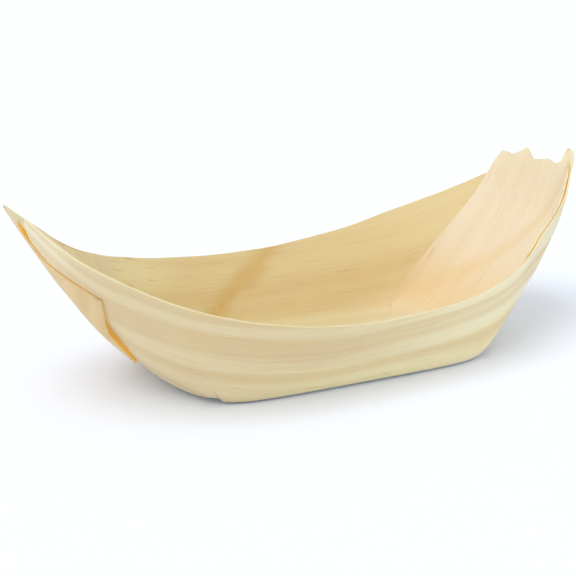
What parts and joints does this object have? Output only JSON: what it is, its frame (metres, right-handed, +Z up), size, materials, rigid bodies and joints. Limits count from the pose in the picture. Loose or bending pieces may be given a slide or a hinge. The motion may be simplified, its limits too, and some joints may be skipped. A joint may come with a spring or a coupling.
{
  "type": "bamboo serving boat",
  "caption": "Boat-shaped disposable serving dish folded from one thin sheet of bamboo veneer, with overlapping pointed ends and a torn inner tongue.",
  "frame": {"origin": "centre of the bounding box in plan, at the height of the flat underside", "axes": "+X along the boat, +Y across it, +Z up; at +X the wing that wraps outermost comes from the -Y side"},
  "size_m": [0.1706, 0.0764, 0.0513],
  "materials": {
    "veneer": "unfinished rotary-cut bamboo or pine veneer, matt, fine straight grain along the length"
  },
  "bodies": {
    "root": {"veneer_boat": "veneer"}
  },
  "joints": []
}
